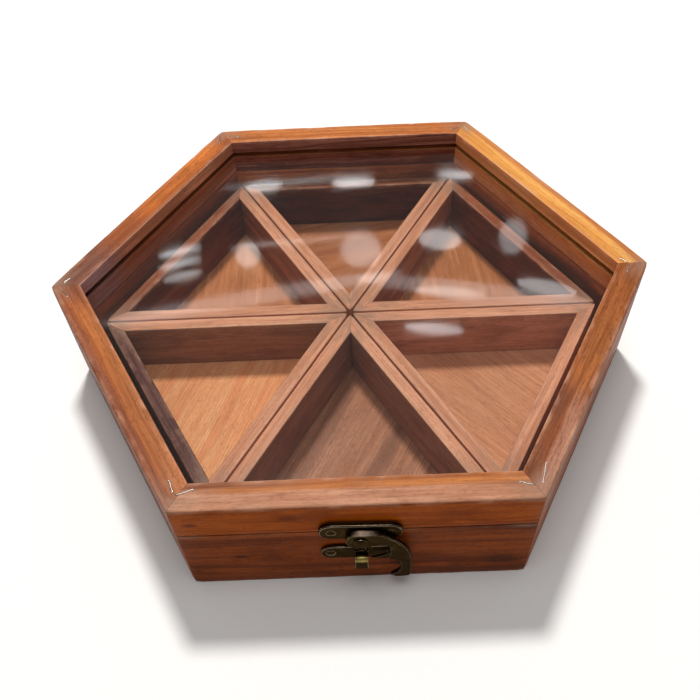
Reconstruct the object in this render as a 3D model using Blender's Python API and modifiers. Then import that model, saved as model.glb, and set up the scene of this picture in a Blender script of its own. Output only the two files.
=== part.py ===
"""Hexagonal hardwood spice box: a glazed lid on two butt hinges, a horn latch and six lift-out trays.

Metres, +Z up. The origin is the centre of the underside. The front, with the latch, faces -Y.
"""

import math

import bmesh
import bpy
from mathutils import Matrix, Vector

MM = 0.001
GAP = 0.3 * MM

# Box: a regular hexagon with flats at the front and back.
SIDE = 127 * MM
APOTHEM = SIDE * math.cos(math.radians(30))
WALL = 11 * MM
CORNER_ROUND = 2.5 * MM
ARRIS = 0.6 * MM
SEAM_Z = 38 * MM
BOX_TOP_Z = 56 * MM
BASE_FLOOR = 4 * MM
SIDES = ("front", "front_right", "back_right", "back", "back_left", "front_left")

# Glass, held in a groove round the inside of the lid rails.
GLASS_TOP_Z = 49.5 * MM
GLASS_THICKNESS = 2.5 * MM
GROOVE_DEPTH = 4 * MM
GROOVE_ROOM = 0.4 * MM
PANE_ROOM = 0.4 * MM
PANE_ARRIS = 0.25 * MM

# Trays: equilateral triangles, one to each side of the hexagon.
TRAY_REACH = 95.4 * MM
TRAY_SPACING = 0.7 * MM
TRAY_WALL = 5.7 * MM
TRAY_TOP_Z = 32.2 * MM
TRAY_FLOOR_Z = 8 * MM
TRAY_CORNER_ROUND = 0.8 * MM
TRAY_ARRIS = 0.4 * MM
TRAY_INRADIUS = (TRAY_REACH - TRAY_SPACING) / 3
TRAY_CENTRE = TRAY_REACH - TRAY_INRADIUS
TRAY_WALLS = ("outer", "divider_right", "divider_left")

# Horn latch, laid out from its rivet. Depths are measured out from the box's front face.
LATCH_X = 1.2 * MM
HORN_ARRIS = 0.35 * MM
PLATE_HALF_LENGTH = 14.7 * MM
UPPER_PLATE_DEPTH = (GAP, 2.2 * MM)
UPPER_PLATE_HALF_HEIGHT = 4.6 * MM
UPPER_PLATE_RISE = 2.6 * MM
UPPER_PLATE_TILT = math.radians(-2)
UPPER_PLATE_LOBE = 5 * MM
UPPER_NAIL_X = 10.3 * MM
CATCH_DEPTH = (GAP, 1.5 * MM)
CATCH_HALF_HEIGHT = 4.25 * MM
CATCH_DROP = 13.75 * MM
CATCH_NAIL_X = 11 * MM
CATCH_ARRIS = 0.25 * MM
NOTCH_HALF_WIDTH = 2 * MM
NOTCH_DEPTH = 3.4 * MM
NOTCH_FOOT = 0.7 * MM
TONGUE_WIDTH = 4.8 * MM
TONGUE_THICKNESS = 1.2 * MM
TONGUE_FRONT = 5.05 * MM
TONGUE_BEND = 1.6 * MM
TONGUE_ARRIS = 0.2 * MM
TONGUE_TOP_DROP = 13 * MM
TONGUE_END_DROP = 19.8 * MM
HORN_DEPTH = (2.5 * MM, 4.4 * MM)
HORN_HEAD = 5.4 * MM
FINGER_RADIUS = 15.1 * MM
FINGER_FRONT = 3.5 * MM
RIVET_SHANK = 1.3 * MM
RIVET_HEAD = 2.6 * MM
RIVET_DOME = 0.9 * MM

# Countersunk nails of the latch plates, and screws of the hinges.
NAIL_SHANK = 0.65 * MM
NAIL_HEAD = 1.5 * MM
NAIL_HEAD_HEIGHT = 0.85 * MM
NAIL_LENGTH = 7 * MM
NAIL_SINK = 0.15 * MM
NAIL_DOME = 0.2 * MM
NAIL_POINT = 1 * MM
NAIL_HOLE = NAIL_SHANK + 0.35 * MM
SCREW_SHANK = 0.85 * MM
SCREW_HEAD = 1.7 * MM
SCREW_DOME = 0.5 * MM
SCREW_LENGTH = 6.2 * MM
SCREW_SLOT = 0.45 * MM
SCREW_POINT = 1.5 * MM
PILOT_DEPTH = 6.2 * MM
PILOT_ROOM = 0.25 * MM

# Butt hinges on the back face.
HINGE_X = 32 * MM
HINGE_LENGTH = 18 * MM
LEAF_THICKNESS = 1 * MM
LEAF_HEIGHT = 12.5 * MM
KNUCKLE_RADIUS = 2 * MM
KNUCKLE_BORE = 1.15 * MM
KNUCKLE_MIDDLE = 5.8 * MM
HINGE_PIN = 0.9 * MM
PIN_ARRIS = 0.2 * MM
PIN_LENGTH = HINGE_LENGTH + 1.2 * MM
LEAF_CORNER = 1.5 * MM
HINGE_Y = APOTHEM + GAP + KNUCKLE_RADIUS
LEAF_SCREW_X = 5.2 * MM
LEAF_SCREW_RISE = 7.8 * MM

FACE_FRONT = (math.pi / 2, 0, 0)
FACE_BACK = (math.pi / 2, 0, math.pi)
FACE_BACK_DOWN = (-math.pi / 2, 0, 0)


def clear_scene():
    for thing in list(bpy.data.objects):
        bpy.data.objects.remove(thing)


def new_collection(name):
    collection = bpy.data.collections.new(name)
    bpy.context.scene.collection.children.link(collection)
    return collection


def new_material(name, colour, roughness, metallic=0.0, alpha=1.0):
    material = bpy.data.materials.new(name)
    material.use_nodes = True
    shader = material.node_tree.nodes["Principled BSDF"]
    shader.inputs["Base Color"].default_value = (*colour, 1.0)
    shader.inputs["Roughness"].default_value = roughness
    shader.inputs["Metallic"].default_value = metallic
    shader.inputs["Alpha"].default_value = alpha
    return material


clear_scene()
PARTS = new_collection("spice_box")
CUTTERS = new_collection("cutters")

SHEESHAM = new_material("sheesham", (0.36, 0.14, 0.05), 0.45)
SHEESHAM_PALE = new_material("sheesham_pale", (0.50, 0.24, 0.11), 0.5)
GLASS = new_material("glass", (0.9, 0.93, 0.92), 0.03, alpha=0.2)
BRONZE = new_material("antique_bronze", (0.06, 0.05, 0.035), 0.4, metallic=0.9)
STEEL = new_material("steel", (0.60, 0.60, 0.58), 0.3, metallic=1.0)


def settled_mesh(thing):
    """The welded mesh of an object with its modifiers applied. The object itself is removed."""
    bpy.context.view_layer.update()
    graph = bpy.context.evaluated_depsgraph_get()
    mesh = bpy.data.meshes.new_from_object(thing.evaluated_get(graph))
    bpy.data.objects.remove(thing)
    shape = bmesh.new()
    shape.from_mesh(mesh)
    bmesh.ops.remove_doubles(shape, verts=shape.verts, dist=1e-6)
    bmesh.ops.recalc_face_normals(shape, faces=shape.faces)
    shape.to_mesh(mesh)
    shape.free()
    mesh.shade_smooth()
    mesh.set_sharp_from_angle(angle=math.radians(35))
    return mesh


def slab_mesh(name, outlines, thickness, arris=0.0, rounding=0):
    """A flat plate in XY, centred on z = 0, from its outline and any inner outlines.

    Its edges are chamfered by the arris, or rounded where rounding is above 0.
    """
    curve = bpy.data.curves.new(name, "CURVE")
    curve.dimensions = "2D"
    curve.fill_mode = "BOTH"
    curve.extrude = thickness / 2 - arris
    curve.bevel_depth = arris
    curve.bevel_resolution = rounding
    curve.offset = -arris
    for outline in outlines:
        spline = curve.splines.new("POLY")
        spline.points.add(len(outline) - 1)
        for point, place in zip(spline.points, outline):
            point.co = (place[0], place[1], 0, 1)
        spline.use_cyclic_u = True
    thing = bpy.data.objects.new(name, curve)
    CUTTERS.objects.link(thing)
    return settled_mesh(thing)


def turned_mesh(name, profile, steps):
    """A solid turned about Z. The profile is radius and height, from the top of the axis down to its foot."""
    mesh = bpy.data.meshes.new(name)
    points = [(radius, 0, height) for radius, height in profile]
    edges = [(i, i + 1) for i in range(len(points) - 1)]
    mesh.from_pydata(points, edges, [])
    thing = bpy.data.objects.new(name, mesh)
    CUTTERS.objects.link(thing)
    screw = thing.modifiers.new("turn", "SCREW")
    screw.steps = steps
    screw.render_steps = steps
    screw.use_merge_vertices = True
    screw.merge_threshold = 1e-6
    return settled_mesh(thing)


def box_mesh(name, size):
    mesh = bpy.data.meshes.new(name)
    shape = bmesh.new()
    bmesh.ops.create_cube(shape, size=1, matrix=Matrix.Diagonal((*size, 1)))
    shape.to_mesh(mesh)
    shape.free()
    return mesh


def place(name, mesh, material, location=(0, 0, 0), rotation=(0, 0, 0), parent=None):
    """One piece. Its location and rotation are in its parent's space."""
    thing = bpy.data.objects.new(name, mesh)
    thing.location = location
    thing.rotation_euler = rotation
    thing.parent = parent
    if not mesh.materials:
        mesh.materials.append(material)
    PARTS.objects.link(thing)
    return thing


def place_cutter(name, mesh, location=(0, 0, 0), rotation=(0, 0, 0), parent=None):
    thing = bpy.data.objects.new(name, mesh)
    thing.location = location
    thing.rotation_euler = rotation
    thing.parent = parent
    thing.hide_render = True
    thing.display_type = "WIRE"
    CUTTERS.objects.link(thing)
    return thing


def place_pivot(name, location, turn=0.0):
    """An empty that a moving group hangs from."""
    thing = bpy.data.objects.new(name, None)
    thing.location = location
    thing.rotation_euler = (0, 0, turn)
    PARTS.objects.link(thing)
    return thing


def boolean(thing, other, operation="DIFFERENCE"):
    modifier = thing.modifiers.new(operation.lower() + "_" + other.name, "BOOLEAN")
    modifier.operation = operation
    modifier.object = other


def circle(radius, steps=24, centre=(0, 0)):
    return arc(radius, 0, 360 * (1 - 1 / steps), steps - 1, centre)


def arc(radius, start, end, steps, centre=(0, 0)):
    """Points from start to end, in degrees counter-clockwise from +X."""
    points = []
    for step in range(steps + 1):
        angle = math.radians(start + (end - start) * step / steps)
        points.append((centre[0] + radius * math.cos(angle), centre[1] + radius * math.sin(angle)))
    return points


def smooth(points, steps=3):
    """A Catmull-Rom curve through the points, which keeps both ends."""
    path = [Vector(point) for point in points]
    path = [2 * path[0] - path[1]] + path + [2 * path[-1] - path[-2]]
    curve = []
    for before, start, end, after in zip(path, path[1:], path[2:], path[3:]):
        for step in range(steps):
            t = step / steps
            curve.append(
                0.5 * (2 * start + (end - before) * t
                       + (2 * before - 5 * start + 4 * end - after) * t**2
                       + (3 * start - before - 3 * end + after) * t**3)
            )
    return [tuple(point) for point in curve] + [tuple(path[-2])]


def regular_outline(sides, apothem, corner_round=0.0, steps=4):
    """A regular polygon whose first side faces -Y."""
    turn = 360 / sides
    reach = (apothem - corner_round) / math.cos(math.radians(turn / 2))
    points = []
    for k in range(sides):
        heading = -90 + turn * (k + 0.5)
        corner = (reach * math.cos(math.radians(heading)), reach * math.sin(math.radians(heading)))
        if corner_round:
            points += arc(corner_round, heading - turn / 2, heading + turn / 2, steps, corner)
        else:
            points.append(corner)
    return points


def ring_mesh(name, sides, apothem, width, corner_round, height, arris):
    outer = regular_outline(sides, apothem, corner_round)
    inner = regular_outline(sides, apothem - width)
    return slab_mesh(name, [outer, inner], height, arris, rounding=1)


def wedge_mesh(name, sides, reach, height):
    """The sector that holds one bar of a mitred ring, set in by half a gap at each mitre. It faces -Y."""
    half = math.pi / sides
    tip = -(GAP / 2) / math.sin(half)
    across = reach * math.sin(half)
    out = tip - reach * math.cos(half)
    return slab_mesh(name, [[(0, tip), (-across, out), (across, out)]], height)


def side_turn(k):
    return math.radians(60 * k)


def front_place(x, z, depth):
    """World place of a point at this depth in front of the box's front face."""
    return (x, -(APOTHEM + depth), z)


def back_place(x, z, depth):
    return (x, APOTHEM + depth, z)


def middle(depths):
    return sum(depths) / 2


def thickness(depths):
    return depths[1] - depths[0]


def make_pilot_holes(thing, shank, places, parent=None):
    """Blind holes along Y, one at each place on the front or back face."""
    offset = parent.location if parent else Vector((0, 0, 0))
    length = 2 * PILOT_DEPTH
    mesh = slab_mesh("pilot", [circle(shank + PILOT_ROOM, 12)], length)
    for k, spot in enumerate(places):
        cutter = place_cutter(f"{thing.name}_pilot_{k}", mesh, Vector(spot) - offset, FACE_FRONT, parent)
        boolean(thing, cutter)


def make_base(wedges):
    height = SEAM_Z - GAP / 2
    ring = ring_mesh("base_ring", 6, APOTHEM, WALL, CORNER_ROUND, height, ARRIS)
    walls = {}
    for side in SIDES:
        wall = place(f"base_wall_{side}", ring, SHEESHAM, (0, 0, height / 2))
        boolean(wall, wedges[side], "INTERSECT")
        walls[side] = wall
    panel = slab_mesh("floor_panel", [regular_outline(6, APOTHEM - WALL - GAP)], BASE_FLOOR)
    place("base_floor", panel, SHEESHAM_PALE, (0, 0, BASE_FLOOR / 2))
    return walls


def make_lid(wedges, lid_pivot):
    bottom = SEAM_Z + GAP / 2
    height = BOX_TOP_Z - bottom
    ring = ring_mesh("lid_ring", 6, APOTHEM, WALL, CORNER_ROUND, height, ARRIS)
    groove_bottom = GLASS_TOP_Z - GLASS_THICKNESS - GAP
    groove_top = GLASS_TOP_Z + GROOVE_ROOM
    groove_outline = regular_outline(6, APOTHEM - WALL + GROOVE_DEPTH)
    groove_mesh = slab_mesh("groove", [groove_outline], groove_top - groove_bottom)
    groove = place_cutter("glass_groove", groove_mesh, (0, 0, (groove_top + groove_bottom) / 2))
    rails = {}
    for side in SIDES:
        place_z = bottom + height / 2 - SEAM_Z
        rail = place(f"lid_rail_{side}", ring, SHEESHAM, (0, -HINGE_Y, place_z), parent=lid_pivot)
        boolean(rail, groove)
        boolean(rail, wedges[side], "INTERSECT")
        rails[side] = rail
    pane_outline = regular_outline(6, APOTHEM - WALL + GROOVE_DEPTH - PANE_ROOM)
    pane = slab_mesh("pane", [pane_outline], GLASS_THICKNESS, PANE_ARRIS)
    pane_z = GLASS_TOP_Z - GLASS_THICKNESS / 2 - SEAM_Z
    place("lid_glass", pane, GLASS, (0, -HINGE_Y, pane_z), parent=lid_pivot)
    return rails


def make_trays():
    wall_bottom = TRAY_FLOOR_Z + GAP
    height = TRAY_TOP_Z - wall_bottom
    ring = ring_mesh("tray_ring", 3, TRAY_INRADIUS, TRAY_WALL, TRAY_CORNER_ROUND, height, TRAY_ARRIS)
    wedge = wedge_mesh("tray_wedge", 3, 4 * TRAY_INRADIUS, 2 * height)
    floor_bottom = BASE_FLOOR + GAP
    floor_outline = regular_outline(3, TRAY_INRADIUS, TRAY_CORNER_ROUND)
    floor = slab_mesh("tray_floor", [floor_outline], TRAY_FLOOR_Z - floor_bottom)
    for k, side in enumerate(SIDES):
        centre = Matrix.Rotation(side_turn(k), 3, "Z") @ Vector((0, -TRAY_CENTRE, floor_bottom))
        tray = place_pivot(f"tray_{side}_lift", centre, side_turn(k))
        wall_z = wall_bottom + height / 2 - floor_bottom
        for j, wall in enumerate(TRAY_WALLS):
            turn = (0, 0, math.radians(120 * j))
            cutter = place_cutter(f"tray_{side}_{wall}_mitre", wedge, (0, 0, wall_z), turn, tray)
            piece = place(f"tray_{side}_{wall}", ring, SHEESHAM_PALE, (0, 0, wall_z), parent=tray)
            boolean(piece, cutter, "INTERSECT")
        floor_z = (TRAY_FLOOR_Z - floor_bottom) / 2
        place(f"tray_{side}_floor", floor, SHEESHAM_PALE, (0, 0, floor_z), parent=tray)


def nail_mesh():
    dome = [(0, NAIL_DOME), (0.6 * NAIL_HEAD, 0.7 * NAIL_DOME), (NAIL_HEAD, 0)]
    shank = [(NAIL_SHANK, -NAIL_HEAD_HEIGHT), (NAIL_SHANK, NAIL_POINT - NAIL_LENGTH), (0, -NAIL_LENGTH)]
    return turned_mesh("nail", dome + shank, 14)


def screw_mesh():
    """A round-headed screw with a slot. Its head sits on z = 0."""
    dome = [(0, SCREW_DOME)]
    for angle in (60, 30, 0):
        reach = SCREW_HEAD * math.cos(math.radians(angle))
        dome.append((reach, SCREW_DOME * math.sin(math.radians(angle))))
    shank = [(SCREW_SHANK, 0), (SCREW_SHANK, SCREW_POINT - SCREW_LENGTH), (0, -SCREW_LENGTH)]
    mesh = turned_mesh("screw_blank", dome + shank, 14)
    slot = place_cutter("slot", box_mesh("slot", (3 * SCREW_HEAD, SCREW_SLOT, SCREW_DOME)))
    slot.location = (0, 0, 0.75 * SCREW_DOME)
    blank = place_cutter("screw_blank", mesh)
    boolean(blank, slot)
    settled = settled_mesh(blank)
    bpy.data.objects.remove(slot)
    return settled


def countersink_mesh():
    """The cone that a nail's head sits in, with a gap all round. Its wide end is at z = 0."""
    mouth = NAIL_HEAD + GAP
    rim = 1 * MM
    return turned_mesh("countersink", [(0, rim), (mouth, rim), (mouth, 0), (0, -mouth)], 20)


def stadium(half_length, half_height, centre=(0, 0), steps=8):
    """The right and left ends of a round-ended plate, counter-clockwise from the bottom right."""
    reach = half_length - half_height
    right = arc(half_height, -90, 90, steps, (centre[0] + reach, centre[1]))
    left = arc(half_height, 90, 270, steps, (centre[0] - reach, centre[1]))
    return right, left


def upper_plate_outline():
    """A round-ended plate with a lobe below it that carries the rivet, which is the outline's origin."""
    right, left = stadium(PLATE_HALF_LENGTH, UPPER_PLATE_HALF_HEIGHT, (0, UPPER_PLATE_RISE))
    dip = math.degrees(math.asin((UPPER_PLATE_HALF_HEIGHT - UPPER_PLATE_RISE) / UPPER_PLATE_LOBE))
    lobe = arc(UPPER_PLATE_LOBE, 180 + dip, 360 - dip, 10)
    return right + left + lobe


def catch_outline():
    """A round-ended plate with a V notch in the middle of its top edge."""
    right, left = stadium(PLATE_HALF_LENGTH, CATCH_HALF_HEIGHT)
    foot = CATCH_HALF_HEIGHT - NOTCH_DEPTH
    notch = [(NOTCH_HALF_WIDTH, CATCH_HALF_HEIGHT), (NOTCH_FOOT, foot), (-NOTCH_FOOT, foot)]
    return right + notch + [(-NOTCH_HALF_WIDTH, CATCH_HALF_HEIGHT)] + left


def tongue_outline():
    """Side view of the hooked tongue: x is depth in front of the box, y is height above the rivet."""
    inner_round = TONGUE_BEND - TONGUE_THICKNESS
    bend = (TONGUE_FRONT - TONGUE_BEND, -TONGUE_TOP_DROP - TONGUE_BEND)
    root = middle(CATCH_DEPTH)
    tip = arc(TONGUE_THICKNESS / 2, 0, -180, 6, (TONGUE_FRONT - TONGUE_THICKNESS / 2, -TONGUE_END_DROP))
    over = arc(TONGUE_BEND, 90, 0, 6, bend)
    under = arc(inner_round, 0, 90, 3, bend)
    top = [(root, -TONGUE_TOP_DROP)]
    foot = [(root, -TONGUE_TOP_DROP - TONGUE_THICKNESS)]
    return top + over + tip + under + foot


def horn_outline():
    """The swinging horn seen from the front, laid out from its rivet: head, horn, tail and finger."""
    back = smooth([(p[0] * MM, p[1] * MM) for p in (
        (4.1, 5.0), (7.0, 4.1), (9.8, 2.0), (13.4, -2.3), (16.5, -7.4), (17.8, -13), (18.2, -20), (18.2, -26.6),
    )])
    tail = smooth([(p[0] * MM, p[1] * MM) for p in (
        (17.6, -28.6), (15.2, -29.3), (12.6, -29.2), (10.8, -28.2),
    )])
    belly = smooth([(p[0] * MM, p[1] * MM) for p in (
        (11.4, -27.3), (13.4, -25.4), (14.2, -22), (14.0, -18), (13.1, -15.6), (11.6, -14.9),
    )])
    finger_low = [(7.6 * MM, -15.3 * MM)]
    finger_top = arc(FINGER_RADIUS, -76.5, -53, 6)
    throat = smooth([(p[0] * MM, p[1] * MM) for p in (
        (10.2, -10.0), (10.3, -7.0), (9.2, -4.2), (7.0, -3.3), (4.6, -3.6),
    )])
    head = arc(HORN_HEAD, -50, -290, 16)
    return back + tail + belly + finger_low + finger_top + throat + head


def make_latch(walls, rails, lid_pivot):
    pivot_z = SEAM_Z
    lid_offset = lid_pivot.location
    rivet_hole = circle(RIVET_SHANK + GAP, 20)

    # Upper plate, on the lid's front rail.
    tilt = Matrix.Rotation(UPPER_PLATE_TILT, 2)
    upper_spots = [tilt @ Vector((s * UPPER_NAIL_X, UPPER_PLATE_RISE)) for s in (-1, 1)]
    outline = [tuple(tilt @ Vector(point)) for point in upper_plate_outline()]
    holes = [circle(NAIL_HOLE, 14, tuple(spot)) for spot in upper_spots]
    plate_mesh = slab_mesh(
        "upper_plate", [outline, rivet_hole] + holes, thickness(UPPER_PLATE_DEPTH), HORN_ARRIS
    )
    spot = Vector(front_place(LATCH_X, pivot_z, middle(UPPER_PLATE_DEPTH))) - lid_offset
    upper = place("latch_upper_plate", plate_mesh, BRONZE, spot, FACE_FRONT, lid_pivot)

    # Catch plate and its tongue, on the base's front wall.
    catch_spots = [Vector((s * CATCH_NAIL_X, -CATCH_DROP)) for s in (-1, 1)]
    holes = [circle(NAIL_HOLE, 14, (s * CATCH_NAIL_X, 0)) for s in (-1, 1)]
    catch_mesh = slab_mesh("catch_plate", [catch_outline()] + holes, thickness(CATCH_DEPTH), CATCH_ARRIS)
    spot = front_place(LATCH_X, pivot_z - CATCH_DROP, middle(CATCH_DEPTH))
    catch = place("latch_catch_plate", catch_mesh, BRONZE, spot, FACE_FRONT)
    tongue_mesh = slab_mesh("tongue", [tongue_outline()], TONGUE_WIDTH, TONGUE_ARRIS)
    side_on = (math.pi / 2, 0, -math.pi / 2)
    tongue = place_cutter("catch_tongue", tongue_mesh, front_place(LATCH_X, pivot_z, 0), side_on)
    boolean(catch, tongue, "UNION")

    # Nails, with their countersinks and pilot holes.
    nail = nail_mesh()
    cone = countersink_mesh()
    for plate, spots, depths, wood, parent, label in (
        (upper, upper_spots, UPPER_PLATE_DEPTH, rails["front"], lid_pivot, "upper"),
        (catch, catch_spots, CATCH_DEPTH, walls["front"], None, "catch"),
    ):
        offset = parent.location if parent else Vector((0, 0, 0))
        in_wood = []
        for spot, hand in zip(spots, ("left", "right")):
            x, z = LATCH_X + spot.x, pivot_z + spot.y
            face = Vector(front_place(x, z, depths[1])) - offset
            cutter = place_cutter(f"{label}_countersink_{hand}", cone, face, FACE_FRONT, parent)
            boolean(plate, cutter)
            seat = Vector(front_place(x, z, depths[1] - NAIL_SINK)) - offset
            place(f"latch_{label}_nail_{hand}", nail, BRONZE, seat, FACE_FRONT, parent)
            in_wood.append(front_place(x, z, 0))
        make_pilot_holes(wood, NAIL_SHANK, in_wood, parent)

    # Rivet, on the lid.
    head_seat = HORN_DEPTH[1] + GAP
    dome = [(0, RIVET_DOME)]
    for angle in (68, 45, 22, 0):
        reach = RIVET_HEAD * math.cos(math.radians(angle))
        dome.append((reach, RIVET_DOME * math.sin(math.radians(angle))))
    foot = UPPER_PLATE_DEPTH[0] - head_seat
    rivet = turned_mesh("rivet", dome + [(RIVET_SHANK, 0), (RIVET_SHANK, foot), (0, foot)], 20)
    spot = Vector(front_place(LATCH_X, pivot_z, head_seat)) - lid_offset
    place("latch_rivet", rivet, BRONZE, spot, FACE_FRONT, lid_pivot)

    # Horn: its finger is thinned from the front, to slip behind the tongue.
    horn_mesh = slab_mesh("horn", [horn_outline(), rivet_hole], thickness(HORN_DEPTH), HORN_ARRIS)
    spot = Vector(front_place(LATCH_X, pivot_z, middle(HORN_DEPTH))) - lid_offset
    horn = place("latch_horn", horn_mesh, BRONZE, spot, FACE_FRONT, lid_pivot)
    thin = box_mesh("finger_thinning", (11 * MM, 8 * MM, 2 * MM))
    face = FINGER_FRONT + 1 * MM
    spot = Vector(front_place(LATCH_X + 4.6 * MM, pivot_z - 14 * MM, face)) - lid_offset
    cutter = place_cutter("finger_thinning", thin, spot, FACE_FRONT, lid_pivot)
    boolean(horn, cutter)


def leaf_mesh(name, outer_knuckles):
    """A hinge leaf lying in XY, with the hinge axis along X through y = 0."""
    half = HINGE_LENGTH / 2
    inner_end = KNUCKLE_MIDDLE / 2
    plate_end = half - 0.2 * MM
    near = 1.3 * MM
    clear = KNUCKLE_RADIUS + 2 * GAP
    relief = clear + 0.2 * MM
    if outer_knuckles:
        step = inner_end + GAP
        tab = step + 0.2 * MM
        edge = [(plate_end, near), (tab, near), (tab, clear), (-tab, clear), (-tab, near), (-plate_end, near)]
        spans = [(step, half), (-half, -step)]
    else:
        tab = inner_end - 0.2 * MM
        edge = [(plate_end, clear), (tab, relief), (tab, near)]
        edge += [(-tab, near), (-tab, relief), (-plate_end, clear)]
        spans = [(-inner_end, inner_end)]
    reach = plate_end - LEAF_CORNER
    rise = LEAF_HEIGHT - LEAF_CORNER
    right = arc(LEAF_CORNER, 90, 0, 4, (reach, rise))
    left = arc(LEAF_CORNER, 180, 90, 4, (-reach, rise))
    holes = [circle(SCREW_SHANK + GAP, 14, (s * LEAF_SCREW_X, LEAF_SCREW_RISE)) for s in (-1, 1)]
    blank = place_cutter(name + "_blank", slab_mesh(name, [edge + left + right] + holes, LEAF_THICKNESS))
    axis_height = KNUCKLE_RADIUS - LEAF_THICKNESS / 2
    knuckles = []
    for start, end in spans:
        rings = [circle(KNUCKLE_RADIUS, 22), circle(KNUCKLE_BORE, 18)]
        tube = slab_mesh("knuckle", rings, end - start)
        spot = ((start + end) / 2, 0, axis_height)
        knuckle = place_cutter(f"{name}_knuckle_{len(knuckles)}", tube, spot, (0, math.pi / 2, 0))
        boolean(blank, knuckle, "UNION")
        knuckles.append(knuckle)
    mesh = settled_mesh(blank)
    for knuckle in knuckles:
        bpy.data.objects.remove(knuckle)
    return mesh


def make_hinges(walls, rails, lid_pivot):
    base_leaf = leaf_mesh("base_leaf", True)
    lid_leaf = leaf_mesh("lid_leaf", False)
    pin = slab_mesh("hinge_pin", [circle(HINGE_PIN, 20)], PIN_LENGTH, PIN_ARRIS)
    screw = screw_mesh()
    leaf_depth = GAP + LEAF_THICKNESS / 2
    seat_depth = 2 * GAP + LEAF_THICKNESS
    base_places = []
    lid_places = []
    lid_offset = lid_pivot.location
    for hand, x in (("left", -HINGE_X), ("right", HINGE_X)):
        name = f"hinge_{hand}"
        place(f"{name}_base_leaf", base_leaf, BRONZE, back_place(x, SEAM_Z, leaf_depth), FACE_BACK_DOWN)
        spot = Vector(back_place(x, SEAM_Z, leaf_depth)) - lid_offset
        place(f"{name}_lid_leaf", lid_leaf, BRONZE, spot, FACE_BACK, lid_pivot)
        place(f"{name}_pin", pin, STEEL, (x, HINGE_Y, SEAM_Z), (0, math.pi / 2, 0))
        for step, label in ((-LEAF_SCREW_X, "a"), (LEAF_SCREW_X, "b")):
            low, high = SEAM_Z - LEAF_SCREW_RISE, SEAM_Z + LEAF_SCREW_RISE
            seat = back_place(x + step, low, seat_depth)
            place(f"{name}_base_screw_{label}", screw, BRONZE, seat, FACE_BACK)
            seat = Vector(back_place(x + step, high, seat_depth)) - lid_offset
            place(f"{name}_lid_screw_{label}", screw, BRONZE, seat, FACE_BACK, lid_pivot)
            base_places.append(back_place(x + step, low, 0))
            lid_places.append(back_place(x + step, high, 0))
    make_pilot_holes(walls["back"], SCREW_SHANK, base_places)
    make_pilot_holes(rails["back"], SCREW_SHANK, lid_places, lid_pivot)


def main():
    lid_pivot = place_pivot("lid_pivot", (0, HINGE_Y, SEAM_Z))
    wedge = wedge_mesh("box_wedge", 6, 2 * SIDE, 4 * BOX_TOP_Z)
    wedges = {}
    for k, side in enumerate(SIDES):
        wedges[side] = place_cutter(f"box_mitre_{side}", wedge, rotation=(0, 0, side_turn(k)))
    walls = make_base(wedges)
    rails = make_lid(wedges, lid_pivot)
    make_trays()
    make_latch(walls, rails, lid_pivot)
    make_hinges(walls, rails, lid_pivot)


main()
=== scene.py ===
"""Looks of the hexagonal sheesham spice box: polished hardwood, a glass pane, antique bronze fittings.

Metres, +Z up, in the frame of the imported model. The front, with the latch, faces -Y.
"""

import math

import bmesh
import bpy
from mathutils import Matrix, Vector, noise


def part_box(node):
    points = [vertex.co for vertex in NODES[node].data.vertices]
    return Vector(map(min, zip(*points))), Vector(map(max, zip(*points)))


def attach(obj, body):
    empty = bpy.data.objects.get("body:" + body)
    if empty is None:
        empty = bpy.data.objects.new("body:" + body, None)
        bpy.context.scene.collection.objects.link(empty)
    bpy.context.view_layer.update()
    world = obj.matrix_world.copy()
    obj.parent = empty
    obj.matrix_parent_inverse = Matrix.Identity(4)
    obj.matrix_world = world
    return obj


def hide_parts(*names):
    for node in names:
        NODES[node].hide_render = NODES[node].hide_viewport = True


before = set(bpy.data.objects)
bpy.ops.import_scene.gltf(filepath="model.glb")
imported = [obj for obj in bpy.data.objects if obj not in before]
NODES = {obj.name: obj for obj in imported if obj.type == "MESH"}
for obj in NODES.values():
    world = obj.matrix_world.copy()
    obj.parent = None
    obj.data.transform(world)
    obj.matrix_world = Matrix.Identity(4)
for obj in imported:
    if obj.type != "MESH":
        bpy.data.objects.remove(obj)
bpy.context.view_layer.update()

MM = 0.001
SIDES = ("front", "front_right", "back_right", "back", "back_left", "front_left")
SIXTH = math.radians(60)


# ---------------------------------------------------------------- material tools


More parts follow.
